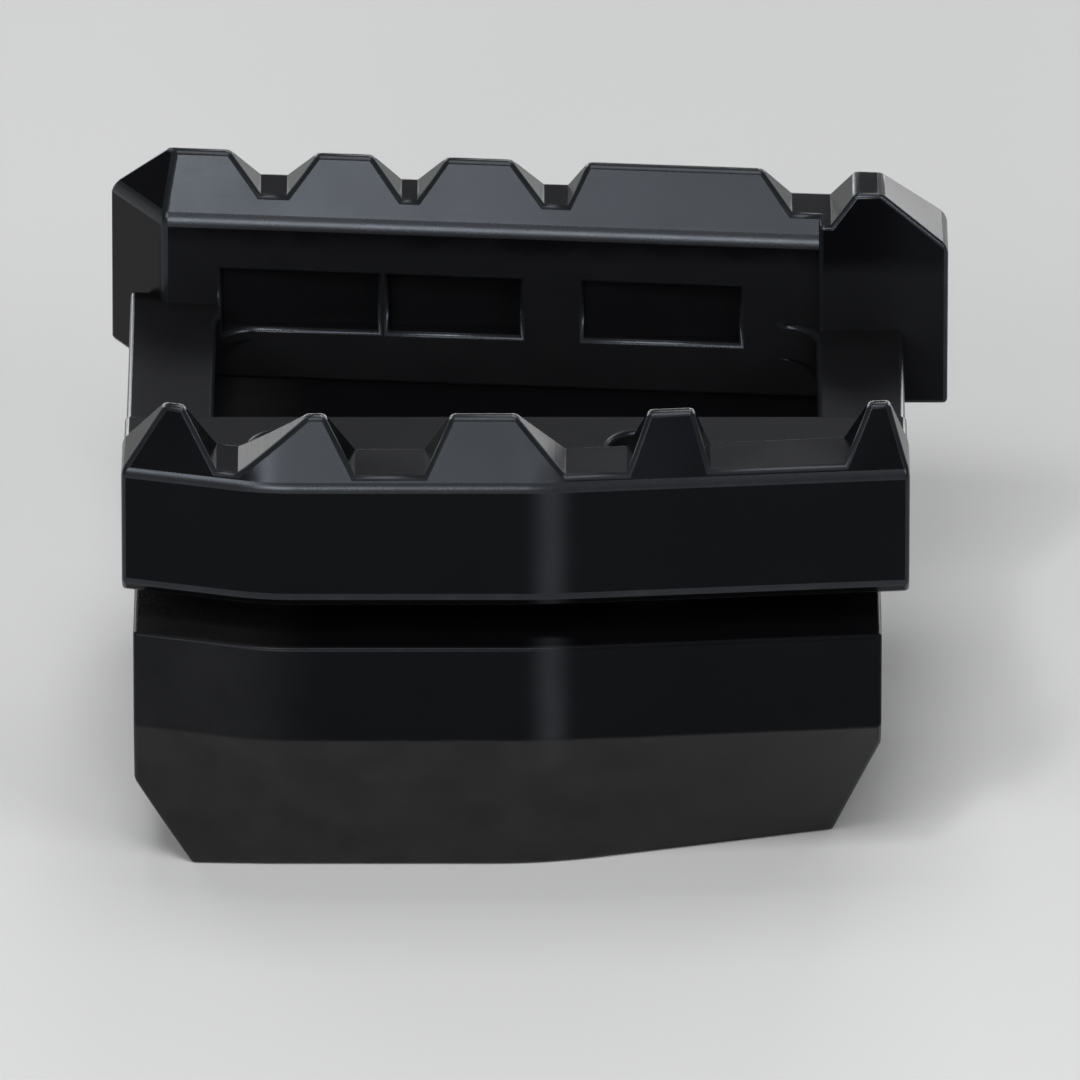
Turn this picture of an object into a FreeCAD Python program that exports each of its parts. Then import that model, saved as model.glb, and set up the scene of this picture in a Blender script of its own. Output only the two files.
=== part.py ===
"""Brake pedal extension: a toothed tread frame and a clamp block that grip a pedal tip between them.

Frame: +X forward, +Y inboard, +Z up, millimetres. The origin is the centre of the box's underside.
Each piece is drawn with Y = 0 on the rim's outboard face, then shifted to the shared origin.
"""
import FreeCAD, Part
import collections
import math
import os
import Sketcher

V = FreeCAD.Vector
CLOSE = 0.01
UPRIGHT = 0.999
FULL_TURN = 360
SOCKET_SIDES = 6

# Driving dimensions: alias, value, what it is
DIMENSIONS = [
    ("half_length", 31.5, "half of the far bar's length"),
    ("wall_height", 9.8, "plain wall of a rail, under its roof"),
    ("roof_height", 4.3, "height of the sloped roof on a rail"),
    ("roof_flank", 3.2, "width of the roof's outboard slope"),
    ("rim_width", 6.2, "width of the near rim"),
    ("rim_back_flank", 2.0, "width of the rim roof's inboard slope"),
    ("rim_rear_x", -29.9, "rear end of the near rim"),
    ("rim_rear_bend_x", -19.4, "bend between the rim's rear and middle facets"),
    ("rim_front_bend_x", 1.2, "bend between the rim's middle and front facets"),
    ("rim_front_x", 28.1, "front end of the near rim"),
    ("rear_angle", 16.0, "degrees the rear facet falls back"),
    ("front_angle", 5.5, "degrees the front facet falls back"),
    ("rear_bend_radius", 16.0, "rounding of the rear bend"),
    ("front_bend_radius", 28.0, "rounding of the front bend"),
    ("rim_rear_hip", 3.2, "how far the rim's roof slopes in at the rear end"),
    ("rim_front_hip", 1.5, "how far it slopes in at the front end"),
    ("foot_height", 1.0, "height of the chamfer along the rim's foot"),
    ("foot_inset", 0.8, "width of that chamfer"),
    ("bar_y", 47.5, "outboard wall of the far bar at its middle"),
    ("bar_width", 6.6, "width of the far bar"),
    ("bar_back_flank", 2.6, "width of the bar roof's inboard slope"),
    ("bar_angle", 5.1, "degrees the far bar is turned"),
    ("bar_end_angle", 30.5, "slant of the bar's rear end in plan"),
    ("bar_rear_hip", 2.8, "how far the bar's roof slopes in at the rear end"),
    ("bar_front_hip", 5.0, "how far it slopes in at the front end"),
    ("shoulder_x", 21.8, "rear side of the square shoulder at the bar's front end"),
    ("shoulder_y", 44.6, "outboard face of that shoulder"),
    ("web_height", 3.0, "thickness of the low webs"),
    ("web_width", 6.5, "width of the low webs"),
    ("web_bite", 2.0, "how far the webs run into the far bar"),
    ("ledge_height", 6.0, "thickness of the screw ledge"),
    ("ledge_y", 22.0, "inboard edge of the screw ledge"),
    ("window_radius", 3.0, "cutter radius in the window's corners"),
    ("rim_notch_depth", 3.6, "depth of the valleys in the rim"),
    ("bar_notch_depth", 2.6, "depth of the valleys in the far bar"),
    ("relief_top", 5.8, "upper edge of the pockets in the far bar's wall"),
    ("relief_bottom", 1.2, "lower edge of those pockets"),
    ("jaw_gap", 3.0, "gap that takes the pedal's plate"),
    ("block_rear_x", -29.1, "rear end of the clamp block"),
    ("block_front_x", 26.1, "front end of the clamp block"),
    ("block_band", 7.4, "height of the block's upright band"),
    ("block_margin", 1.2, "step from the far bar's inboard face to the block's"),
    ("hull_height", 13.4, "height of the block's sloped hull"),
    ("hull_inset", 7.0, "how far the hull slopes in under the outboard face"),
    ("hull_far_inset", 2.5, "how far it slopes in on the inboard side"),
    ("hull_rear_angle", 2.0, "degrees its bottom edge falls back at the rear"),
    ("hull_front_angle", 16.0, "degrees its bottom edge falls back at the front"),
    ("rear_rake", 4.2, "run of the slope under the block's rear end"),
    ("rear_rake_height", 8.0, "height of that slope"),
    ("front_rake", 3.4, "run of the slope under the block's front end"),
    ("front_rake_height", 11.0, "height of that slope"),
    ("channel_near_y", 24.5, "outboard wall of the pedal arm's channel"),
    ("channel_far_y", 39.5, "inboard wall of the pedal arm's channel"),
    ("channel_depth", 10.0, "depth of the channel"),
    ("channel_front_x", 10.0, "front end of the channel"),
    ("screw_rear_x", -17.5, "rear screw"),
    ("screw_front_x", 9.0, "front screw"),
    ("screw_y", 16.4, "line of the screws"),
    ("thread_radius", 3.0, "tapped hole, M6"),
    ("thread_clearance", 0.05, "radial play of the thread"),
    ("clear_radius", 3.3, "clearance hole"),
    ("bore_radius", 5.4, "counterbore"),
    ("bore_depth", 9.0, "counterbore depth"),
    ("head_radius", 5.0, "screw head"),
    ("head_height", 6.0, "screw head height"),
    ("screw_length", 20.0, "screw length under the head"),
    ("socket_flats", 5.0, "hexagon socket across flats"),
    ("socket_depth", 3.0, "hexagon socket depth"),
    ("edge_break", 0.5, "small chamfers on the screw"),
    ("overshoot", 1.0, "how far a cutter starts and ends clear of the metal"),
]

# Valleys between teeth, from the rear: start and end of the floor along X, run of its rear and front sides
VALLEYS = {
    "rim": [(-22.9, -21.3, 2.4, 5.1), (-12.7, -7.6, 2.2, 2.0), (2.8, 7.3, 3.6, 1.6), (13.4, 23.3, 1.2, 1.8)],
    "bar": [(-20.1, -18.1, 2.3, 2.3), (-9.5, -8.3, 2.2, 2.2), (1.2, 3.0, 2.4, 1.5), (19.8, 22.7, 2.2, 1.8)],
}
VALLEY_SIZES = [
    ("start", "rear edge of the floor"),
    ("end", "front edge of the floor"),
    ("rear_run", "run of the rear side"),
    ("front_run", "run of the front side"),
]
for rail, places in VALLEYS.items():
    for number, sizes in enumerate(places, start=1):
        for (part, meaning), size in zip(VALLEY_SIZES, sizes):
            DIMENSIONS.append((f"{rail}_valley_{number}_{part}", size, f"{rail} valley {number}, {meaning}"))

# Pockets in the far bar's outboard wall, from the rear: start and end along X, depth
RELIEFS = [(-23.0, -11.3, 1.2), (-10.5, -0.6, 1.9), (4.2, 15.9, 1.2)]
for number, (start, end, depth) in enumerate(RELIEFS, start=1):
    DIMENSIONS.append((f"relief_{number}_start", start, f"rear edge of wall pocket {number}"))
    DIMENSIONS.append((f"relief_{number}_end", end, f"front edge of wall pocket {number}"))
    DIMENSIONS.append((f"relief_{number}_depth", depth, f"depth of wall pocket {number}"))

BAR_SLOPE = "tan(dims.bar_angle)"
DEPTH = f"(dims.bar_y + dims.half_length * {BAR_SLOPE} + dims.bar_width)"
BLOCK_HEIGHT = "(dims.hull_height + dims.block_band)"
FRAME_LIFT = f"({BLOCK_HEIGHT} + dims.jaw_gap)"
RIDGE_TOP = "(dims.wall_height + dims.roof_height)"

# A rounded corner of an outline: where it starts and ends, its centre and radius, and its sense
Bend = collections.namedtuple("Bend", "enter leave centre radius backwards")

doc = FreeCAD.newDocument("brake_pedal_extension")
sheet = doc.addObject("Spreadsheet::Sheet", "dims")
for row, (alias, number, meaning) in enumerate(DIMENSIONS, start=1):
    sheet.set(f"A{row}", meaning)
    sheet.set(f"B{row}", str(number))
    sheet.setAlias(f"B{row}", alias)
doc.recompute()


def value(expression):
    """The number that an expression over the sheet stands for."""
    return float(sheet.evalExpression(expression))


def bar_line(x, offset="0"):
    """Expression for the far bar's outboard wall at x, moved inboard by offset."""
    return f"dims.bar_y - ({x}) * {BAR_SLOPE} + ({offset})"


def bar_end(tip_x, offset):
    """Point where the bar's slanted rear end, drawn from its inboard tip, meets a line along the bar."""
    slant = "tan(dims.bar_end_angle)"
    reach = f"({tip_x}) + {slant} * (dims.bar_width - ({tip_x}) * {BAR_SLOPE} - ({offset}))"
    x = f"({reach}) / (1 - {slant} * {BAR_SLOPE})"
    return x, bar_line(x, offset)


def rim_line(inset, rear_x, front_x, rear_angle="dims.rear_angle", front_angle="dims.front_angle"):
    """Corners of the rim's plan line from rear to front, moved inboard by inset, with its two bends."""
    rear_run = f"dims.rear_bend_radius * tan({rear_angle} / 2)"
    rear_end_x = f"dims.rim_rear_bend_x + {rear_run}"
    rear_bend = Bend(
        enter=(f"dims.rim_rear_bend_x - {rear_run} * cos({rear_angle})",
               f"{inset} + {rear_run} * sin({rear_angle})"),
        leave=(rear_end_x, inset),
        centre=(rear_end_x, f"{inset} + dims.rear_bend_radius"),
        radius="dims.rear_bend_radius",
        backwards=False)
    front_run = f"dims.front_bend_radius * tan({front_angle} / 2)"
    front_start_x = f"dims.rim_front_bend_x - {front_run}"
    front_bend = Bend(
        enter=(front_start_x, inset),
        leave=(f"dims.rim_front_bend_x + {front_run} * cos({front_angle})",
               f"{inset} + {front_run} * sin({front_angle})"),
        centre=(front_start_x, f"{inset} + dims.front_bend_radius"),
        radius="dims.front_bend_radius",
        backwards=False)
    rear = (rear_x, f"{inset} + (dims.rim_rear_bend_x - ({rear_x})) * tan({rear_angle})")
    front = (front_x, f"{inset} + (({front_x}) - dims.rim_front_bend_x) * tan({front_angle})")
    return [rear, rear_bend, front_bend, front]


def backwards(corners):
    """The same corners, walked the other way."""
    turned = []
    for corner in reversed(corners):
        if isinstance(corner, Bend):
            corner = Bend(corner.leave, corner.enter, corner.centre, corner.radius, not corner.backwards)
        turned.append(corner)
    return turned


def new_body(name):
    """An empty body that carries a sub-part's label."""
    body = doc.addObject("PartDesign::Body", name)
    body.Label = name
    return body


def new_sketch(body, name, role, offset="0"):
    """A sketch on one of the body's origin planes, moved along its normal."""
    sketch = body.newObject("Sketcher::SketchObject", name)
    plane = [item for item in body.Origin.OriginFeatures if item.Role == role][0]
    sketch.AttachmentSupport = [(plane, "")]
    sketch.MapMode = "FlatFace"
    sketch.setExpression(".AttachmentOffset.Base.z", offset)
    return sketch


def pin_point(sketch, geometry, vertex, point):
    """Bind a vertex to two expressions, measured from the sketch's origin."""
    for kind, expression in zip(("DistanceX", "DistanceY"), point):
        index = sketch.addConstraint(Sketcher.Constraint(kind, -1, 1, geometry, vertex, value(expression)))
        sketch.setExpression(f"Constraints[{index}]", expression)


def spot(point):
    """The place that a pair of expressions stands for."""
    return V(value(point[0]), value(point[1]), 0)


def add_arc(sketch, bend, before, after):
    """The rounding between two straight edges, bound to its radius."""
    centre = spot(bend.centre)
    ends = (bend.leave, bend.enter) if bend.backwards else (bend.enter, bend.leave)
    angles = [math.atan2((spot(p) - centre).y, (spot(p) - centre).x) for p in ends]
    circle = Part.Circle(centre, V(0, 0, 1), value(bend.radius))
    arc = sketch.addGeometry(Part.ArcOfCircle(circle, *angles))
    first, last = (2, 1) if bend.backwards else (1, 2)
    pin_point(sketch, before, 2, bend.enter)
    sketch.addConstraint(Sketcher.Constraint("Coincident", before, 2, arc, first))
    sketch.addConstraint(Sketcher.Constraint("Coincident", arc, last, after, 1))
    size = sketch.addConstraint(Sketcher.Constraint("Radius", arc, value(bend.radius)))
    sketch.setExpression(f"Constraints[{size}]", bend.radius)


def add_outline(sketch, corners):
    """A closed outline through corners, each a pair of expressions or a bend."""
    edges = []
    for number, corner in enumerate(corners):
        following = corners[(number + 1) % len(corners)]
        start = corner.leave if isinstance(corner, Bend) else corner
        end = following.enter if isinstance(following, Bend) else following
        edges.append(sketch.addGeometry(Part.LineSegment(spot(start), spot(end))))
        pin_point(sketch, edges[-1], 1, start)
    for number, corner in enumerate(corners):
        before, after = edges[number - 1], edges[number]
        if isinstance(corner, Bend):
            add_arc(sketch, corner, before, after)
        else:
            sketch.addConstraint(Sketcher.Constraint("Coincident", before, 2, after, 1))


def add_circle(sketch, centre, radius):
    """A circle with its centre and radius bound to expressions."""
    index = sketch.addGeometry(Part.Circle(spot(centre), V(0, 0, 1), value(radius)))
    pin_point(sketch, index, 3, centre)
    size = sketch.addConstraint(Sketcher.Constraint("Radius", index, value(radius)))
    sketch.setExpression(f"Constraints[{size}]", radius)


def pad(body, name, sketch, length):
    """Raise a sketch along its normal."""
    feature = body.newObject("PartDesign::Pad", name)
    feature.Profile = sketch
    feature.setExpression("Length", length)
    doc.recompute()
    return feature


def pocket(body, name, sketch, length, reverse=False):
    """Cut a sketch into the body, and make sure that it took something away."""
    before = body.Shape.Volume
    feature = body.newObject("PartDesign::Pocket", name)
    feature.Profile = sketch
    feature.Reversed = reverse
    feature.setExpression("Length", length)
    doc.recompute()
    if not body.Shape.Volume < before:
        raise RuntimeError(f"{name} cut nothing")
    return feature


def round_edges(body, name, radius, wanted):
    """Fillet the edges of the body's tip that pass a test."""
    base = body.Tip
    names = [f"Edge{n}" for n, edge in enumerate(base.Shape.Edges, start=1) if wanted(edge)]
    feature = body.newObject("PartDesign::Fillet", name)
    feature.Base = (base, names)
    feature.setExpression("Radius", radius)
    doc.recompute()
    return feature


def is_corner(edge, corners):
    """True for an upright edge that stands on one of the corners."""
    if len(edge.Vertexes) != 2 or abs(edge.tangentAt(edge.FirstParameter).z) < UPRIGHT:
        return False
    middle = edge.CenterOfMass
    foot = V(middle.x, middle.y, 0)
    return min(foot.distanceToPoint(spot(corner)) for corner in corners) < CLOSE


def loft(body, name, lower, upper):
    """Join two outlines with straight rulings."""
    doc.recompute()
    feature = body.newObject("PartDesign::AdditiveLoft", name)
    feature.Profile = lower
    feature.Sections = [upper]
    feature.Ruled = True
    doc.recompute()
    return feature


def plan(body, name, lift, corners):
    """An outline drawn in plan at one height."""
    sketch = new_sketch(body, name, "XY_Plane", lift)
    add_outline(sketch, corners)
    return sketch


def valleys(body, rail, near_y, far_y):
    """Trapezoid valleys cut across a rail between two Y positions, which leave its teeth."""
    sketch = new_sketch(body, f"{rail}_valley_outlines", "XZ_Plane", f"-({near_y})")
    floor = f"{RIDGE_TOP} - dims.{rail}_notch_depth"
    top = f"{RIDGE_TOP} + dims.overshoot"
    stretch = f"(1 + dims.overshoot / dims.{rail}_notch_depth)"
    for number in range(1, len(VALLEYS[rail]) + 1):
        valley = f"dims.{rail}_valley_{number}"
        add_outline(sketch, [
            (f"{valley}_start", floor),
            (f"{valley}_end", floor),
            (f"{valley}_end + {valley}_front_run * {stretch}", top),
            (f"{valley}_start - {valley}_rear_run * {stretch}", top),
        ])
    return pocket(body, f"{rail}_valleys", sketch, f"({far_y}) - ({near_y})")


def place(body, lift):
    """Shift a finished body from its drawing position to the shared origin."""
    body.setExpression(".Placement.Base.y", f"-{DEPTH} / 2")
    body.setExpression(".Placement.Base.z", lift)


def rim_outline(outer="0", inner="0", rear="0", front="0"):
    """The near rim's plan, with its outboard and inboard sides and its ends moved in."""
    rear_x = f"dims.rim_rear_x + {rear}"
    front_x = f"dims.rim_front_x - {front}"
    outboard = rim_line(outer, rear_x, front_x)
    inboard = rim_line(f"dims.rim_width - {inner}", rear_x, front_x)
    return outboard + backwards(inboard)


def bar_outline(outer="0", inner="0", rear="0", front="0"):
    """The far bar's plan, with its slanted rear end and square front shoulder, moved in for the roof."""
    tip_x = f"-dims.half_length + {rear}"
    front_x = f"dims.half_length - {front}"
    inboard = f"dims.bar_width - {inner}"
    return [
        bar_end(tip_x, outer),
        ("dims.shoulder_x", bar_line("dims.shoulder_x", outer)),
        ("dims.shoulder_x", "dims.shoulder_y"),
        (front_x, "dims.shoulder_y"),
        (front_x, bar_line(front_x, inboard)),
        bar_end(tip_x, inboard),
    ]


def build_tread_frame():
    """Near rim, far bar with its shoulder, two low webs and the screw ledge, milled from one billet."""
    body = new_body("tread_frame")

    # Low webs and the screw ledge, with the window cut through them
    rim_middle = rim_line("dims.rim_width / 2", "dims.rim_rear_x", "dims.rim_front_x")
    webs = plan(body, "web_outline", "0", rim_middle + [
        ("dims.rim_front_x", bar_line("dims.rim_front_x", "dims.web_bite")),
        ("dims.rim_rear_x", bar_line("dims.rim_rear_x", "dims.web_bite")),
    ])
    pad(body, "webs", webs, "dims.web_height")
    ledge = plan(body, "ledge_outline", "0", rim_middle + [
        ("dims.rim_front_x", "dims.ledge_y"),
        ("dims.rim_rear_x", "dims.ledge_y"),
    ])
    pad(body, "screw_ledge", ledge, "dims.ledge_height")
    rear = "dims.rim_rear_x + dims.web_width"
    front = "dims.rim_front_x - dims.web_width"
    corners = [
        (rear, "dims.ledge_y"),
        (front, "dims.ledge_y"),
        (front, bar_line(front)),
        (rear, bar_line(rear)),
    ]
    window = plan(body, "window_outline", "dims.ledge_height", corners)
    pocket(body, "tread_window", window, "dims.ledge_height")
    round_edges(body, "window_corners", "dims.window_radius", lambda edge: is_corner(edge, corners))

    # Near rim: chamfered foot, plain wall and sloped roof
    foot = plan(body, "rim_foot_outline", "0", rim_outline(outer="dims.foot_inset"))
    foot_top = plan(body, "rim_foot_top", "dims.foot_height", rim_outline())
    loft(body, "rim_foot", foot, foot_top)
    wall = plan(body, "rim_wall_outline", "dims.foot_height", rim_outline())
    pad(body, "rim_wall", wall, "dims.wall_height - dims.foot_height")
    eaves = plan(body, "rim_eaves", "dims.wall_height", rim_outline())
    ridge = plan(body, "rim_ridge", RIDGE_TOP, rim_outline(
        "dims.roof_flank", "dims.rim_back_flank", "dims.rim_rear_hip", "dims.rim_front_hip"))
    loft(body, "rim_roof", eaves, ridge)

    # Far bar: it reaches down over the jaw gap to bear on the clamp block
    wall = plan(body, "bar_wall_outline", "-dims.jaw_gap", bar_outline())
    pad(body, "bar_wall", wall, "dims.wall_height + dims.jaw_gap")
    eaves = plan(body, "bar_eaves", "dims.wall_height", bar_outline())
    ridge = plan(body, "bar_ridge", RIDGE_TOP, bar_outline(
        "dims.roof_flank", "dims.bar_back_flank", "dims.bar_rear_hip", "dims.bar_front_hip"))
    loft(body, "bar_roof", eaves, ridge)

    valleys(body, "rim", "-dims.overshoot", "dims.ledge_y")
    valleys(body, "bar", "dims.shoulder_y - dims.overshoot", f"{DEPTH} + dims.overshoot")

    for number in range(1, len(RELIEFS) + 1):
        start = f"dims.relief_{number}_start"
        end = f"dims.relief_{number}_end"
        outline = new_sketch(body, f"relief_{number}_outline", "XZ_Plane", "-dims.shoulder_y")
        add_outline(outline, [
            (start, "dims.relief_bottom"),
            (end, "dims.relief_bottom"),
            (end, "dims.relief_top"),
            (start, "dims.relief_top"),
        ])
        back = bar_line(f"({start} + {end}) / 2", f"dims.relief_{number}_depth")
        pocket(body, f"relief_{number}", outline, f"{back} - dims.shoulder_y")

    holes = new_sketch(body, "tapped_hole_outline", "XY_Plane", "dims.ledge_height")
    for x in ("dims.screw_rear_x", "dims.screw_front_x"):
        add_circle(holes, (x, "dims.screw_y"), "dims.thread_radius")
    pocket(body, "tapped_holes", holes, "dims.ledge_height")
    place(body, FRAME_LIFT)
    return body


def block_outline(inset, far_inset, rear_angle, front_angle):
    """The clamp block's plan with its outboard and inboard sides moved in."""
    far = f"dims.bar_width - dims.block_margin - {far_inset}"
    return rim_line(inset, "dims.block_rear_x", "dims.block_front_x", rear_angle, front_angle) + [
        ("dims.block_front_x", bar_line("dims.block_front_x", far)),
        ("dims.block_rear_x", bar_line("dims.block_rear_x", far)),
    ]


def rake(body, name, end_x, run, height):
    """Cut a slope under one end of the block; run is towards the block's middle."""
    sketch = new_sketch(body, f"{name}_outline", "XZ_Plane", "dims.overshoot")
    over = f"dims.overshoot / ({height})"
    outside = f"{end_x} - ({run}) * {over}"
    below = "-dims.overshoot"
    add_outline(sketch, [
        (f"{end_x} + ({run}) * (1 + {over})", below),
        (outside, f"{height} + dims.overshoot"),
        (outside, below),
    ])
    pocket(body, name, sketch, f"{DEPTH} + 2 * dims.overshoot")


def build_clamp_block():
    """Lower jaw: sloped hull, upright band and a channel for the pedal arm."""
    body = new_body("clamp_block")
    sides = ("dims.rear_angle", "dims.front_angle")
    keel = plan(body, "hull_bottom", "0", block_outline(
        "dims.hull_inset", "dims.hull_far_inset", "dims.hull_rear_angle", "dims.hull_front_angle"))
    chine = plan(body, "hull_top", "dims.hull_height", block_outline("0", "0", *sides))
    loft(body, "hull", keel, chine)
    band = plan(body, "band_outline", "dims.hull_height", block_outline("0", "0", *sides))
    pad(body, "upright_band", band, "dims.block_band")
    rake(body, "rear_rake", "dims.block_rear_x", "dims.rear_rake", "dims.rear_rake_height")
    rake(body, "front_rake", "dims.block_front_x", "-dims.front_rake", "dims.front_rake_height")

    entry = "dims.block_rear_x - dims.overshoot"
    channel = plan(body, "channel_outline", BLOCK_HEIGHT, [
        (entry, "dims.channel_near_y"),
        ("dims.channel_front_x", "dims.channel_near_y"),
        ("dims.channel_front_x", "dims.channel_far_y"),
        (entry, "dims.channel_far_y"),
    ])
    pocket(body, "pedal_channel", channel, "dims.channel_depth")
    ends = [("dims.channel_front_x", "dims.channel_near_y"), ("dims.channel_front_x", "dims.channel_far_y")]
    round_edges(body, "channel_corners", "dims.window_radius", lambda edge: is_corner(edge, ends))

    for name, radius, length in (("clear_holes", "dims.clear_radius", BLOCK_HEIGHT),
                                 ("counterbores", "dims.bore_radius", "dims.bore_depth")):
        circles = new_sketch(body, f"{name}_outline", "XY_Plane")
        for x in ("dims.screw_rear_x", "dims.screw_front_x"):
            add_circle(circles, (x, "dims.screw_y"), radius)
        pocket(body, name, circles, length, reverse=True)
    place(body, "0")
    return body


def build_screw(name, x):
    """A socket head screw, head down, drawn about its own axis with its head's seat at Z = 0."""
    body = new_body(name)
    section = new_sketch(body, f"{name}_section", "XZ_Plane")
    shank = "dims.thread_radius - dims.thread_clearance"
    add_outline(section, [
        ("0", "-dims.head_height"),
        ("dims.head_radius - dims.edge_break", "-dims.head_height"),
        ("dims.head_radius", "-dims.head_height + dims.edge_break"),
        ("dims.head_radius", "0"),
        (shank, "0"),
        (shank, "dims.screw_length - dims.edge_break"),
        (f"{shank} - dims.edge_break", "dims.screw_length"),
        ("0", "dims.screw_length"),
    ])
    doc.recompute()
    turned = body.newObject("PartDesign::Revolution", f"{name}_turned")
    turned.Profile = section
    turned.ReferenceAxis = (section, ["V_Axis"])
    turned.Angle = FULL_TURN
    doc.recompute()

    socket = new_sketch(body, f"{name}_socket_outline", "XY_Plane", "-dims.head_height")
    corner = "dims.socket_flats / sqrt(3)"
    angles = range(0, FULL_TURN, FULL_TURN // SOCKET_SIDES)
    add_outline(socket, [(f"{corner} * cos({angle})", f"{corner} * sin({angle})") for angle in angles])
    pocket(body, f"{name}_socket", socket, "dims.socket_depth", reverse=True)
    body.setExpression(".Placement.Base.x", x)
    body.setExpression(".Placement.Base.y", f"dims.screw_y - {DEPTH} / 2")
    body.setExpression(".Placement.Base.z", "dims.bore_depth")
    return body


def build_clamp_screws():
    """Both clamp screws as one group of separate solids."""
    group = doc.addObject("Part::Compound", "clamp_screws")
    group.Label = "clamp_screws"
    group.Links = [
        build_screw("rear_screw", "dims.screw_rear_x"),
        build_screw("front_screw", "dims.screw_front_x"),
    ]
    return group


sub_parts = [build_tread_frame(), build_clamp_block(), build_clamp_screws()]
doc.recompute()

for item in doc.Objects:
    if "Invalid" in item.State or "Error" in item.State:
        raise RuntimeError(f"{item.Name} failed: {item.State}")
os.makedirs("parts", exist_ok=True)
for item in sub_parts:
    shape = item.Shape
    if shape.isNull() or not shape.isValid():
        raise RuntimeError(f"{item.Label} has no valid shape")
    shape.exportStep(f"parts/{item.Label}.step")
    box = shape.BoundBox
    print(item.Label, len(shape.Solids), "solids", round(shape.Volume), "mm3",
          [round(v, 2) for v in (box.XMin, box.YMin, box.ZMin, box.XMax, box.YMax, box.ZMax)])
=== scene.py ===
"""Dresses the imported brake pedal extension: black anodised frame and block, threaded screws, studio stage."""

import math

import bmesh
import bpy
import numpy as np
from bpy.props import FloatProperty, FloatVectorProperty, IntProperty, PointerProperty
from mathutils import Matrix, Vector


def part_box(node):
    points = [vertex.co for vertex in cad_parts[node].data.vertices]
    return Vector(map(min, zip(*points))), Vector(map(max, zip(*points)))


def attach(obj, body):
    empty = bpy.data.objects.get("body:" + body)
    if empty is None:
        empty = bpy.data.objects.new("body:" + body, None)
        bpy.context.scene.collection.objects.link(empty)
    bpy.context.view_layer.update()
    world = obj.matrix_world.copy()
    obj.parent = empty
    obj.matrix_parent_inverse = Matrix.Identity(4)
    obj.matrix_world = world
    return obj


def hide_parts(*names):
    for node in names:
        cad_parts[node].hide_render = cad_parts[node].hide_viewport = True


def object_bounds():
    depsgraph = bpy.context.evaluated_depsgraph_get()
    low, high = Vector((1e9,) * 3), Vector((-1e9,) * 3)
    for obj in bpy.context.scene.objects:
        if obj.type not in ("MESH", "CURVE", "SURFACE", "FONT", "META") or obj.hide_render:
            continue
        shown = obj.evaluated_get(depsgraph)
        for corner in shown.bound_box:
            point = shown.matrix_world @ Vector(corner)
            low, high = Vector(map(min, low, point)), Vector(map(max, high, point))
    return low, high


bl_info = {
    "name": "Brake Pedal Extension",
    "version": (1, 0, 0),
    "blender": (4, 5, 0),
    "location": "View3D > Sidebar > Pedal",
    "description": "Finishes a clamped brake pedal extension and sets it on a studio stage",
    "category": "Object",
}

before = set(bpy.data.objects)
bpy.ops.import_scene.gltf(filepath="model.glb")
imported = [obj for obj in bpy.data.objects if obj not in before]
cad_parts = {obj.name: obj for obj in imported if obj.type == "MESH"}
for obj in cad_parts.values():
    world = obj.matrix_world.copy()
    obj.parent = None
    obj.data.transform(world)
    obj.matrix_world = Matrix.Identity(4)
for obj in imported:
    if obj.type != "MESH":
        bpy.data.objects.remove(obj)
CAD_LOW, CAD_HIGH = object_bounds()
SCREWS_LOW, SCREWS_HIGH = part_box("clamp_screws")
BODY = "root"
MM = 0.001

# Height of the foot of the teeth, where both rails' walls end
EAVES = CAD_HIGH.z - 4.3 * MM

# The far bar's outboard wall in plan: its Y at the middle, and how much Y grows along X
BAR_WALL = 19.06 * MM
BAR_LEAN = -0.0875

# Softboxes: name, azimuth and elevation in degrees, distance, width and height in metres, radiance
SOFTBOXES = (
    ("key_softbox", -8.5, 49, 0.61, 0.2, 0.14, 17),
    ("rear_key_softbox", -20, 51, 0.6, 0.05, 0.08, 45),
    ("low_front_softbox", -10, 14, 0.95, 0.3, 0.18, 16),
    ("top_softbox", 180, 84, 0.9, 0.4, 0.4, 4),
    ("left_front_softbox", -38, 26, 0.9, 0.5, 0.18, 9),
    ("right_front_softbox", 40, 26, 0.9, 0.5, 0.18, 9),
    ("left_back_softbox", -142, 29, 0.8, 0.3, 0.22, 2),
    ("right_back_softbox", 138, 26, 0.8, 0.3, 0.22, 2),
    ("back_softbox", 169, 39, 0.65, 0.25, 0.15, 6.8),
    ("horizon_softbox", 180, 5, 1.0, 1.4, 0.16, 4.5),
)


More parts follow.
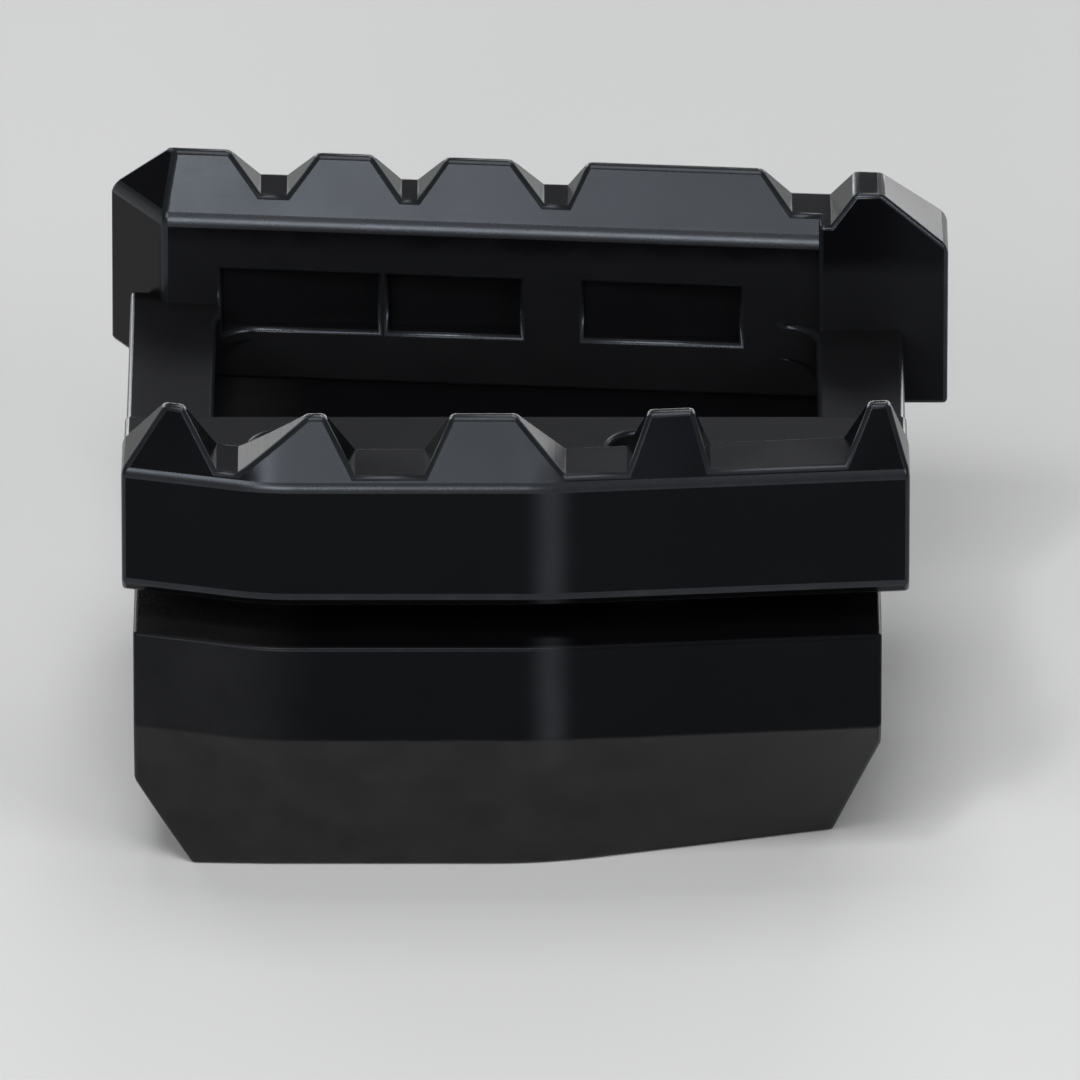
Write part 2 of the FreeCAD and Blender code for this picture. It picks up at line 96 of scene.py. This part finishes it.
class AnodiseSettings(bpy.types.PropertyGroup):
    """Finish of the milled and anodised pieces."""

    colour: FloatVectorProperty(
        name="Colour", description="Dye in the anodised skin", subtype="COLOR",
        default=(0.002, 0.002, 0.0024), min=0, max=1)
    # This colour serves the worn edges and also the painted highlight along the outboard bend.
    rubbed_and_highlight: FloatVectorProperty(
        name="Rubbed", description="Thin skin where boots and gloves rub it", subtype="COLOR",
        default=(0.0148, 0.0155, 0.0172), min=0, max=1)
    # This colour serves the grime inside the frame and also the painted light on the block's hull and rear end.
    dust_and_painted_light: FloatVectorProperty(
        name="Dust", description="Road dust that dulls the sloped hull", subtype="COLOR",
        default=(0.0258, 0.0257, 0.0254), min=0, max=1)
    sheen: FloatVectorProperty(
        name="Sheen", description="Cool tint of what the skin reflects", subtype="COLOR",
        default=(0.8, 0.88, 1.0), min=0, max=1)
    roughness: FloatProperty(
        name="Roughness", description="Satin of the blasted skin", subtype="FACTOR",
        default=0.2, min=0, max=1)
    edge_round: FloatProperty(
        name="Edge round", description="Widest rounding that tumbling leaves on a sharp edge", unit="LENGTH",
        default=0.6 * MM, min=0)
    grain: FloatProperty(
        name="Grain", description="Size of the blasted grain", unit="LENGTH",
        default=0.16 * MM, min=0.01 * MM)
    line_pitch: FloatProperty(
        name="Line pitch", description="Spacing of the level cutter lines on the walls", unit="LENGTH",
        default=0.25 * MM, min=0.01 * MM)
    line_depth: FloatProperty(
        name="Line depth", description="Depth of those lines", unit="LENGTH", default=0.0035 * MM, min=0)
    # Bend and Bend width place the painted highlight, a lighter band along the outboard bend.
    bend_x: FloatProperty(
        name="Bend", description="Where the outboard side bends, from the middle", unit="LENGTH",
        default=1.7 * MM)
    bend_width: FloatProperty(
        name="Bend width", description="How far the burnish spreads to each side of the bend", unit="LENGTH",
        default=2.6 * MM)
    hull_height: FloatProperty(
        name="Hull height", description="Height of the block's sloped hull", unit="LENGTH",
        default=13.4 * MM, min=0)


class ScrewSettings(bpy.types.PropertyGroup):
    """Sizes and finish of the socket head screws."""

    colour: FloatVectorProperty(
        name="Colour", description="Plain stainless steel", subtype="COLOR",
        default=(0.46, 0.455, 0.445), min=0, max=1)
    shank_radius: FloatProperty(
        name="Shank radius", description="Radius over the thread's crests", unit="LENGTH",
        default=2.95 * MM, min=1.0 * MM)
    pitch: FloatProperty(
        name="Pitch", description="Thread pitch", unit="LENGTH", default=1.0 * MM, min=0.1 * MM)
    head_height: FloatProperty(
        name="Head height", description="Height of the round head", unit="LENGTH", default=6.0 * MM)
    socket_flats: FloatProperty(
        name="Socket", description="Hexagon across its flats", unit="LENGTH", default=5.0 * MM)
    flutes: IntProperty(
        name="Flutes", description="Knurl flutes round the head", default=54, min=12)


class StageSettings(bpy.types.PropertyGroup):
    """Floor, lights and camera."""

    floor_tone: FloatProperty(
        name="Floor tone", description="Grey of the floor", subtype="FACTOR", default=0.53, min=0, max=1)
    floor_reach: FloatProperty(
        name="Floor reach", description="How far the floor goes to each side", unit="LENGTH", default=3.0)
    surround: FloatVectorProperty(
        name="Surround", description="Colour of the soft surround", subtype="COLOR",
        default=(0.86, 0.88, 0.92), min=0, max=1)
    ambient: FloatProperty(
        name="Ambient", description="Strength of the soft surround", default=0.2, min=0)
    elevation: FloatProperty(
        name="Elevation", description="Camera height above the tread's plane", subtype="ANGLE",
        default=math.radians(24))
    look_at: FloatVectorProperty(
        name="Look at", description="Point in the middle of the picture", subtype="TRANSLATION",
        default=(0.9 * MM, 0.0, 16.8 * MM))
    frame_width: FloatProperty(
        name="Frame width", description="Width that the square picture takes in", unit="LENGTH",
        default=80.6 * MM)
    distance: FloatProperty(
        name="Distance", description="Camera distance", unit="LENGTH", default=2.0)


class Wire:
    """A shader socket that takes part in arithmetic; each operator adds one Math node."""

    def __init__(self, tree, socket):
        self.tree = tree
        self.socket = socket

    def maths(self, operation, first, second):
        """One Math node on two values or wires."""
        node = self.tree.nodes.new("ShaderNodeMath")
        node.operation = operation
        for socket, given in zip(node.inputs, (first, second)):
            feed(self.tree, socket, given)
        return Wire(self.tree, node.outputs[0])

    def __add__(self, other):
        return self.maths("ADD", self, other)

    def __radd__(self, other):
        return self.maths("ADD", other, self)

    def __sub__(self, other):
        return self.maths("SUBTRACT", self, other)

    def __rsub__(self, other):
        return self.maths("SUBTRACT", other, self)

    def __mul__(self, other):
        return self.maths("MULTIPLY", self, other)

    def __rmul__(self, other):
        return self.maths("MULTIPLY", other, self)


def feed(tree, socket, given):
    """Link a wire to a socket, or set a plain value on it."""
    if isinstance(given, Wire):
        tree.links.new(given.socket, socket)
    else:
        socket.default_value = given


class Finish:
    """A material whose Principled shader is fed by node expressions."""

    def __init__(self, name):
        self.material = bpy.data.materials.new(name)
        self.material.use_nodes = True
        self.tree = self.material.node_tree
        self.shader = self.tree.nodes["Principled BSDF"]

    def node(self, kind, settings=None, inputs=None, output=0):
        """Any node: its settings first, then the values or links of its sockets."""
        node = self.tree.nodes.new(kind)
        for key, setting in (settings or {}).items():
            setattr(node, key, setting)
        for key, given in (inputs or {}).items():
            feed(self.tree, node.inputs[key], given)
        return Wire(self.tree, node.outputs[output])

    def set(self, **sockets):
        """Feed the Principled shader's sockets, with underscores for spaces in their names."""
        for key, given in sockets.items():
            feed(self.tree, self.shader.inputs[key.replace("_", " ")], given)

    def place(self):
        """Object coordinates, in metres."""
        return self.node("ShaderNodeTexCoord", output="Object")

    def axis(self, letter):
        """One of the object coordinates."""
        return self.node("ShaderNodeSeparateXYZ", {}, {"Vector": self.place()}, output=letter)

    def noise(self, size, detail=2.0, stretch=(1.0, 1.0, 1.0)):
        """Soft noise with grains of about one size, drawn out along an axis by a small stretch."""
        spread = self.node("ShaderNodeMapping", {}, {"Vector": self.place(), "Scale": stretch})
        return self.node("ShaderNodeTexNoise", {}, {"Vector": spread, "Scale": 1 / size, "Detail": detail})

    def size_of(self, given):
        """A value without its sign."""
        return self.node("ShaderNodeMath", {"operation": "ABSOLUTE"}, {0: given})

    def ramp(self, given, start, end):
        """Smooth rise from 0 at start to 1 at end."""
        return self.node("ShaderNodeMapRange", {"interpolation_type": "SMOOTHSTEP"}, {
            "Value": given, "From Min": start, "From Max": end, "To Min": 0.0, "To Max": 1.0})

    def blend(self, factor, first, second):
        """Mix of two colours."""
        return self.node("ShaderNodeMix", {"data_type": "RGBA"},
                         {"Factor": factor, "A": first, "B": second}, output="Result")

    def bump(self, height, distance):
        """Normal of a surface raised by height times distance."""
        return self.node("ShaderNodeBump", {}, {"Height": height, "Distance": distance, "Strength": 1.0})


def rgba(colour, gain=1.0):
    """Colour with its alpha, made lighter or darker."""
    return (*[min(1.0, channel * gain) for channel in colour], 1.0)


def painted_bend_highlight_share(finish, settings, along, across):
    """Share of painted highlight: strongest at the bend of the outboard walls, and none behind those walls."""
    near_bend = finish.ramp(finish.size_of(along - settings.bend_x), settings.bend_width, 0.0)
    on_walls = finish.ramp(across, CAD_LOW.y + 2.2 * MM, CAD_LOW.y + 1.4 * MM)
    return near_bend * near_bend * on_walls


def frame_grime_and_painted_lift(finish, along, across, height, patches):
    """Share of grime inside the frame, which dulls its gloss and, as painted light, lifts its shaded recess and
    pockets: from behind the rim up to the far bar, thinner in its pockets.
    """
    behind_rim = finish.ramp(across, CAD_LOW.y + 8.5 * MM, CAD_LOW.y + 10 * MM)
    clear_of_pockets = finish.ramp(across - along * BAR_LEAN, BAR_WALL + 0.8 * MM, BAR_WALL + 0.3 * MM)
    before_back = finish.ramp(across, CAD_HIGH.y - 4.5 * MM, CAD_HIGH.y - 5.5 * MM)
    under_teeth = finish.ramp(height + (patches - 0.5) * 2 * MM, EAVES - 0.5 * MM, EAVES - 2.5 * MM)
    return behind_rim * (0.35 + 0.65 * clear_of_pockets) * before_back * under_teeth


def block_painted_light(finish, settings, along, height, patches):
    """Share of painted light on the block, lighter as if lit from the ground: patchy over its hull, and about a
    third as much over its rear end.
    """
    hull_top = settings.hull_height
    hull = finish.ramp(height + (patches - 0.5) * 0.3 * MM, hull_top, hull_top - 0.4 * MM)
    rear = 0.36 * finish.ramp(along + (patches - 0.5) * 4 * MM, -15 * MM, -22 * MM)
    return (hull + rear * (1 - hull)) * (0.25 + patches * 0.6)


def anodised_finish(name, settings, painted_hull_light):
    """Satin black anodise: blasted grain, faint cutter lines and a slow drift in its gloss.

    The outboard bend gets a painted highlight, a lighter band along the bend where the facets meet.
    A piece with painted hull light is lighter on its hull and rear end, as if lit from the ground; any other
    has thin grime inside the frame, which also lifts the shaded recess as painted light.
    """
    finish = Finish(name)
    grain = finish.noise(settings.grain, 2.0)
    cutter = finish.noise(settings.line_pitch, 1.0, (0.01, 0.01, 1.0))
    drift = finish.noise(9 * MM, 3.0)
    patches = finish.noise(3.5 * MM, 5.0)
    along, across, height = (finish.axis(letter) for letter in "XYZ")
    # Painted highlight along the outboard bend, lighter where the facets meet.
    painted_bend_highlight = painted_bend_highlight_share(finish, settings, along, across) * (0.6 + patches * 0.7)
    skin = finish.blend(drift, rgba(settings.colour, 0.8), rgba(settings.colour, 1.3))
    skin = finish.blend(painted_bend_highlight, skin, rgba(settings.rubbed_and_highlight))
    roughness = settings.roughness + (drift - 0.5) * 0.12 + (grain - 0.5) * 0.08
    # Painted light: the block's hull and rear end made lighter, as if lit from the ground; it also roughens
    # them.
    if painted_hull_light:
        grime_and_painted_light = block_painted_light(finish, settings, along, height, patches)
        skin = finish.blend(grime_and_painted_light, skin, rgba(settings.dust_and_painted_light))
        roughness = roughness + grime_and_painted_light * 0.35
    else:
        # Grime that dulls the gloss, with a small painted lift of the frame's shaded recess and pockets.
        grime_and_painted_light = frame_grime_and_painted_lift(finish, along, across, height, patches)
        skin = finish.blend(grime_and_painted_light * (0.05 + patches * 0.1), skin, rgba(settings.dust_and_painted_light))
        roughness = roughness + grime_and_painted_light * 0.3
    finish.set(
        Base_Color=skin,
        Metallic=0.0,
        Specular_IOR_Level=0.07,
        Specular_Tint=rgba(settings.sheen),
        Roughness=roughness,
        Normal=finish.bump(grain * 0.15 + cutter, settings.line_depth))
    return finish.material


def rubbed_finish(settings):
    """The rounded edges: the same skin, burnished and in patches worn thin."""
    finish = Finish("rubbed_edges")
    patches = finish.noise(2.2 * MM, 4.0)
    scuffs = finish.noise(0.3 * MM, 2.0)
    worn = patches * (0.4 + scuffs * 0.6)
    finish.set(
        Base_Color=finish.blend(worn, rgba(settings.colour), rgba(settings.rubbed_and_highlight)),
        Metallic=0.0,
        Specular_IOR_Level=0.3,
        Specular_Tint=rgba(settings.sheen),
        Roughness=0.28 - worn * 0.1,
        Normal=finish.bump(scuffs, 0.004 * MM))
    return finish.material


def steel_finish(settings):
    """Plain stainless steel with turning lines round its axis and small stains."""
    finish = Finish("screw_steel")
    lines = finish.noise(0.12 * MM, 1.0, (0.08, 0.08, 1.0))
    stain = finish.noise(1.6 * MM, 3.0)
    finish.set(
        Base_Color=finish.blend(stain, rgba(settings.colour, 0.78), rgba(settings.colour, 1.12)),
        Metallic=1.0,
        Roughness=0.26 + stain * 0.16 + lines * 0.08,
        Normal=finish.bump(lines, 0.004 * MM))
    return finish.material


def floor_finish(tone):
    """Pale paper sweep with a very faint mottle."""
    finish = Finish("studio_floor")
    mottle = finish.noise(40 * MM, 4.0)
    finish.set(
        Base_Color=finish.blend(mottle, rgba((tone,) * 3, 0.985), rgba((tone,) * 3)),
        Specular_IOR_Level=0.1,
        Roughness=0.85 + mottle * 0.05)
    return finish.material


def link_piece(name, mesh, materials, slot, *nodes):
    """Put a finished mesh into the scene as a piece that stands for CAD nodes."""
    piece = bpy.data.objects.new(name, mesh)
    bpy.context.scene.collection.objects.link(piece)
    mesh.materials.clear()
    for material in materials:
        mesh.materials.append(material)
    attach(piece, BODY)
    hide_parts(*nodes)
    return piece


def edge_share(edge):
    """Share of the widest edge round: all of it at the foot of the far bar's teeth, less elsewhere."""
    at_eaves = all(abs(corner.co.z - EAVES) < 0.01 * MM for corner in edge.verts)
    on_bar = edge.verts[0].co.y > 0
    if at_eaves:
        return 1.0 if on_bar else 0.7
    return 0.55


def milled_piece(node, name, finishes, settings):
    """The node's own faces with their triangles merged, and every sharp outer edge rounded over.

    A second finish, where one is given, goes on the rounded edges.
    """
    same_place = 0.002 * MM
    same_plane = math.radians(0.4)
    crease = math.radians(15)
    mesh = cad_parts[node].data.copy()
    shell = bmesh.new()
    shell.from_mesh(mesh)
    bmesh.ops.remove_doubles(shell, verts=shell.verts, dist=same_place)
    bmesh.ops.dissolve_limit(shell, angle_limit=same_plane, verts=shell.verts, edges=shell.edges)
    rounded = shell.edges.layers.float.new("bevel_weight_edge")
    for edge in shell.edges:
        edge.smooth = edge.calc_face_angle() < crease
        if edge.is_convex and not edge.smooth:
            edge[rounded] = edge_share(edge)
    for face in shell.faces:
        face.smooth = True
    shell.to_mesh(mesh)
    shell.free()
    mesh.name = name
    piece = link_piece(name, mesh, finishes, "black_anodised", node)
    rounding = piece.modifiers.new("edge_round", "BEVEL")
    rounding.material = len(finishes) - 1
    rounding.width = settings.edge_round
    rounding.segments = 3
    rounding.limit_method = "WEIGHT"
    rounding.loop_slide = False
    rounding.use_clamp_overlap = False
    shading = piece.modifiers.new("flat_faces", "WEIGHTED_NORMAL")
    shading.weight = 100
    shading.keep_sharp = True
    return piece


def lathe(radius, height, count):
    """Closed surface about Z: rows of radius and height over the turn, with a pole at each end.

    radius and height are arrays of rows by columns; the first and last rows shrink to a point.
    """
    turn = np.linspace(0, 2 * math.pi, count, endpoint=False)
    points = np.stack([radius * np.cos(turn), radius * np.sin(turn), height], axis=-1)
    rows = points.shape[0]
    index = np.arange(rows * count).reshape(rows, count)
    across = np.roll(index, -1, axis=1)
    quads = np.stack([index[:-1], across[:-1], across[1:], index[1:]], axis=-1).reshape(-1, 4)
    return points.reshape(-1, 3), quads


def screw_surface(settings, seat, tip, head_radius):
    """Socket head screw, head down: each row is a ring whose radius may change round the turn.

    The socket's rings follow a hexagon, half flats over cos of the angle from the nearest flat.
    The head's side is a knurl, the radius less a small cosine of the flute angle.
    The thread is a triangle wave of height over pitch less the turn, so its crest climbs a helix.
    """
    count = settings.flutes * 4
    turn = np.linspace(0, 2 * math.pi, count, endpoint=False)
    round_ring = np.ones(count)
    shank_radius = settings.shank_radius
    face = seat - settings.head_height
    from_flat = np.mod(turn, math.pi / 3) - math.pi / 6
    hexagon = settings.socket_flats / 2 / np.cos(from_flat)
    socket_floor = face + 0.5 * settings.head_height
    socket_mouth = np.maximum(hexagon, settings.socket_flats * 0.555) + 0.12 * MM
    flute_depth = 0.09 * MM
    knurl = head_radius - flute_depth * (0.5 - 0.5 * np.cos(turn * settings.flutes))
    break_size = 0.5 * MM
    rows = [
        (0 * round_ring, socket_floor + 0.7 * MM),
        (hexagon * 0.96, socket_floor),
        (hexagon, socket_floor - 0.05 * MM),
        (hexagon, face + 0.25 * MM),
        (socket_mouth, face),
        (round_ring * (head_radius - break_size), face),
        (round_ring * (head_radius - 0.35 * break_size), face + 0.15 * break_size),
        (round_ring * (head_radius - 0.1 * MM), face + break_size),
        (knurl, face + 1.4 * break_size),
        (knurl, seat - 0.35 * MM),
        (round_ring * (head_radius - 0.12 * MM), seat - 0.18 * MM),
        (round_ring * (head_radius - 0.3 * MM), seat),
        (round_ring * (shank_radius + 0.2 * MM), seat),
        (round_ring * shank_radius, seat + 0.2 * MM),
    ]
    radius = np.stack([ring for ring, level in rows])
    height = np.stack([np.full(count, level) for ring, level in rows])

    start, end = seat + 0.6 * MM, tip - 0.55 * MM
    rows_per_pitch = 6
    levels = np.arange(start, end, settings.pitch / rows_per_pitch)[:, None]
    phase = np.mod(levels / settings.pitch - turn[None, :] / (2 * math.pi), 1.0)
    thread_depth = 0.61 * settings.pitch
    tooth = np.clip(np.abs(phase - 0.5) * 2.4 - 0.15, 0, 1)
    run_in = np.clip((levels - start) / settings.pitch, 0, 1)
    run_out = np.clip((end - levels) / settings.pitch, 0.35, 1)
    thread = shank_radius - thread_depth * (1 - tooth) * (run_in * run_out)
    thread_height = np.broadcast_to(levels, thread.shape)

    close_radius = np.stack([round_ring * (shank_radius - 0.65 * MM), 0 * round_ring])
    close_height = np.full((2, count), tip)
    return lathe(np.vstack([radius, thread, close_radius]),
                 np.vstack([height, thread_height, close_height]), count)


class PEDAL_OT_tread_frame(bpy.types.Operator):
    """Round and finish the toothed tread frame."""

    bl_idname = "pedal.tread_frame"
    bl_label = "Tread Frame"

    def execute(self, context):
        settings = context.scene.pedal_anodise
        skin = anodised_finish("black_anodised", settings, painted_hull_light=False)
        milled_piece("tread_frame", "milled_tread_frame", (skin, rubbed_finish(settings)), settings)
        return {"FINISHED"}


class PEDAL_OT_clamp_block(bpy.types.Operator):
    """Round and finish the clamp block under the frame."""

    bl_idname = "pedal.clamp_block"
    bl_label = "Clamp Block"

    def execute(self, context):
        settings = context.scene.pedal_anodise
        # The block's finish carries painted light on its hull and rear end.
        skin = anodised_finish("anodised_painted_hull_light", settings, painted_hull_light=True)
        milled_piece("clamp_block", "milled_clamp_block", (skin,), settings)
        return {"FINISHED"}


class PEDAL_OT_clamp_screws(bpy.types.Operator):
    """Turn the two clamp screws, with knurled heads, hexagon sockets and threads."""

    bl_idname = "pedal.clamp_screws"
    bl_label = "Clamp Screws"

    def execute(self, context):
        settings = context.scene.pedal_screws
        head_radius = (SCREWS_HIGH.y - SCREWS_LOW.y) / 2
        seat = SCREWS_LOW.z + settings.head_height
        points, quads = screw_surface(settings, seat, SCREWS_HIGH.z, head_radius)
        middle_y = (SCREWS_LOW.y + SCREWS_HIGH.y) / 2
        places = [(SCREWS_LOW.x + head_radius, middle_y, 0), (SCREWS_HIGH.x - head_radius, middle_y, 0)]
        vertices = np.vstack([points + np.array(spot) for spot in places])
        faces = np.vstack([quads + len(points) * n for n in range(len(places))])
        mesh = bpy.data.meshes.new("turned_clamp_screws")
        mesh.from_pydata(vertices.tolist(), [], faces.tolist())
        shell = bmesh.new()
        shell.from_mesh(mesh)
        bmesh.ops.remove_doubles(shell, verts=shell.verts, dist=0.0005 * MM)
        bmesh.ops.recalc_face_normals(shell, faces=shell.faces)
        shell.to_mesh(mesh)
        shell.free()
        link_piece("turned_clamp_screws", mesh, (steel_finish(settings),), "screw_steel", "clamp_screws")
        return {"FINISHED"}


def seen_from(target, azimuth, elevation, distance):
    """Place seen from a target at two angles; azimuth 0 is on the outboard side and grows to the front."""
    level = math.cos(elevation)
    away = Vector((math.sin(azimuth) * level, -math.cos(azimuth) * level, math.sin(elevation)))
    return Vector(target) + away * distance


def aim(thing, place, target):
    """Put a light or camera into the scene at a place, upright, looking at a target."""
    thing.location = place
    thing.rotation_euler = (Vector(target) - Vector(place)).to_track_quat("-Z", "Y").to_euler()
    bpy.context.scene.collection.objects.link(thing)


def softbox(name, target, azimuth, elevation, distance, width, height, radiance):
    """A rectangular light of even brightness, aimed at a target; its angles are in degrees."""
    light = bpy.data.lights.new(name, "AREA")
    light.shape = "RECTANGLE"
    light.size, light.size_y = width, height
    light.energy = radiance * math.pi * width * height
    place = seen_from(target, math.radians(azimuth), math.radians(elevation), distance)
    aim(bpy.data.objects.new(name, light), place, target)


def studio_floor(settings):
    """A flat square sheet under the part."""
    corners = np.array([(-1, -1, 0), (1, -1, 0), (1, 1, 0), (-1, 1, 0)]) * settings.floor_reach
    mesh = bpy.data.meshes.new("floor")
    mesh.from_pydata((corners + (0, 0, CAD_LOW.z)).tolist(), [], [(0, 1, 2, 3)])
    mesh.materials.append(floor_finish(settings.floor_tone))
    floor = bpy.data.objects.new("floor", mesh)
    bpy.context.scene.collection.objects.link(floor)


def soft_surround(settings):
    """An even, faint light from all round."""
    world = bpy.data.worlds.new("surround")
    world.use_nodes = True
    background = world.node_tree.nodes["Background"]
    background.inputs["Color"].default_value = rgba(settings.surround)
    background.inputs["Strength"].default_value = settings.ambient
    return world


def studio_camera(settings):
    """A long lens on the outboard side that takes in the frame width at the point it looks at."""
    camera = bpy.data.cameras.new("camera")
    camera.sensor_width = 36.0
    camera.lens = camera.sensor_width * settings.distance / settings.frame_width
    camera.clip_end = 50.0
    viewer = bpy.data.objects.new("camera", camera)
    aim(viewer, seen_from(settings.look_at, 0.0, settings.elevation, settings.distance), settings.look_at)
    return viewer


class PEDAL_OT_stage(bpy.types.Operator):
    """Set up the pale floor, the soft lights and the camera."""

    bl_idname = "pedal.stage"
    bl_label = "Studio Stage"

    def execute(self, context):
        scene = context.scene
        settings = scene.pedal_stage
        studio_floor(settings)
        for name, *numbers in SOFTBOXES:
            softbox(name, settings.look_at, *numbers)
        scene.world = soft_surround(settings)
        scene.view_settings.view_transform = "Standard"
        scene.camera = studio_camera(settings)
        return {"FINISHED"}


class PEDAL_PT_sidebar(bpy.types.Panel):
    """Lists the settings and the steps in the 3D view's sidebar."""

    bl_idname = "PEDAL_PT_sidebar"
    bl_label = "Brake Pedal Extension"
    bl_space_type = "VIEW_3D"
    bl_region_type = "UI"
    bl_category = "Pedal"

    def draw(self, context):
        for group in (context.scene.pedal_anodise, context.scene.pedal_screws, context.scene.pedal_stage):
            column = self.layout.column(align=True)
            for key in group.__annotations__:
                column.prop(group, key)
        for operator in OPERATORS:
            self.layout.operator(operator.bl_idname)


SETTINGS = {
    "pedal_anodise": AnodiseSettings,
    "pedal_screws": ScrewSettings,
    "pedal_stage": StageSettings,
}
OPERATORS = (PEDAL_OT_tread_frame, PEDAL_OT_clamp_block, PEDAL_OT_clamp_screws, PEDAL_OT_stage)


def register():
    """Make the settings, operators and panel known."""
    for cls in (*SETTINGS.values(), *OPERATORS, PEDAL_PT_sidebar):
        bpy.utils.register_class(cls)
    for name, group in SETTINGS.items():
        setattr(bpy.types.Scene, name, PointerProperty(type=group))


def unregister():
    """Take them away again."""
    for name in SETTINGS:
        delattr(bpy.types.Scene, name)
    for cls in reversed((*SETTINGS.values(), *OPERATORS, PEDAL_PT_sidebar)):
        bpy.utils.unregister_class(cls)


def main():
    """Finish every piece and set the stage."""
    register()
    bpy.ops.pedal.tread_frame()
    bpy.ops.pedal.clamp_block()
    bpy.ops.pedal.clamp_screws()
    bpy.ops.pedal.stage()


if __name__ == "__main__":
    main()
